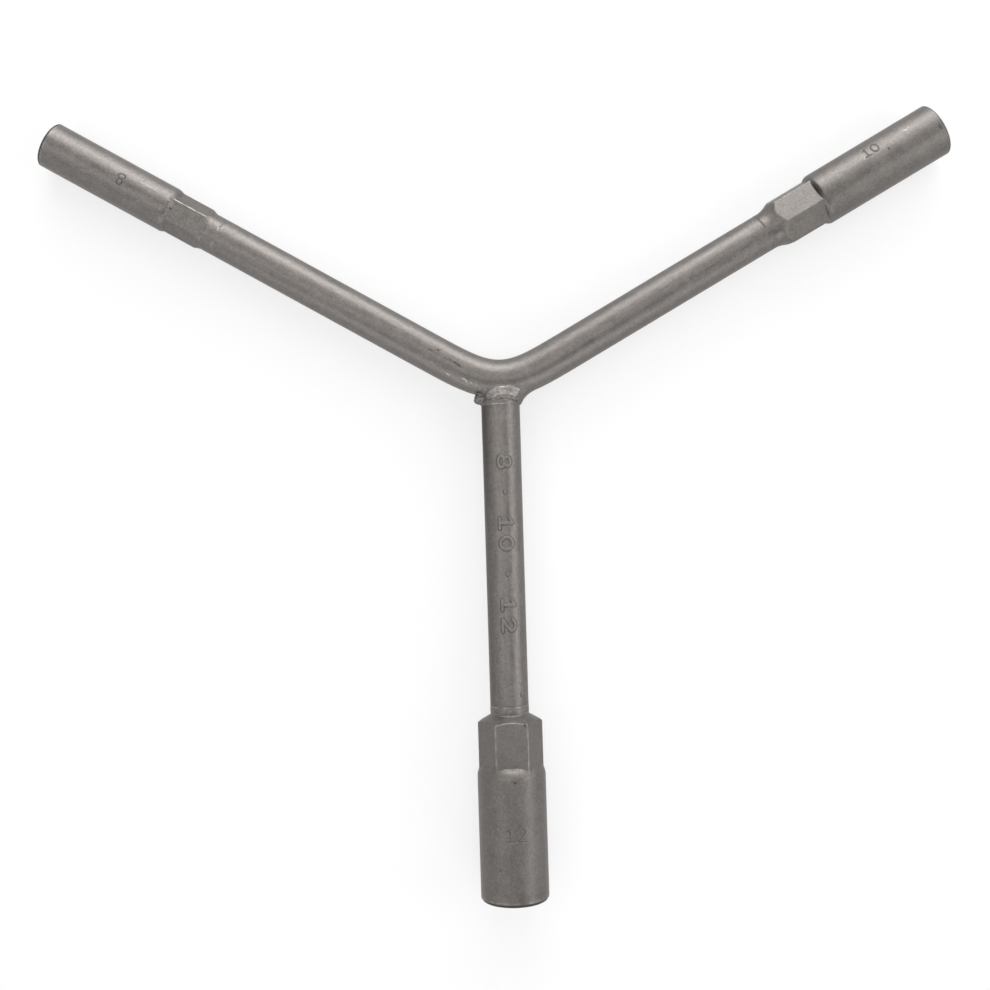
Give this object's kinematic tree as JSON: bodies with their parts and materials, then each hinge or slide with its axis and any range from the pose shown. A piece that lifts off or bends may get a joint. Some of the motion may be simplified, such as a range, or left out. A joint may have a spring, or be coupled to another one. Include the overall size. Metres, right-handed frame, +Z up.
{
  "type": "three-way socket wrench",
  "caption": "Y-shaped socket wrench: a bent round bar and a leg bar welded at the middle, with a deep hexagon socket of a different size welded to each end.",
  "frame": {"origin": "on the surface the wrench lies on, under the middle of its outline", "axes": "+Z up out of that surface, across the flat Y; +Y from the leg towards the gap between the two arms; +X towards the arm with the middle-sized socket"},
  "size_m": [0.2362, 0.2038, 0.0183],
  "materials": {
    "bar_steel": "satin nickel plate over blasted steel, fine grain, a few dark rub marks",
    "socket_steel": "satin nickel plate over forged and milled steel, fine grain, worn bright on the hexagon edges",
    "weld_steel": "weld metal under the same satin plate, rougher, with bright dressed facets"
  },
  "bodies": {
    "root": {"arm_bar": "bar_steel", "leg_bar": "bar_steel", "centre_weld": "weld_steel", "socket_8mm": "socket_steel", "socket_8mm_weld": "weld_steel", "socket_10mm": "socket_steel", "socket_10mm_weld": "weld_steel", "socket_12mm": "socket_steel", "socket_12mm_weld": "weld_steel"}
  },
  "joints": []
}
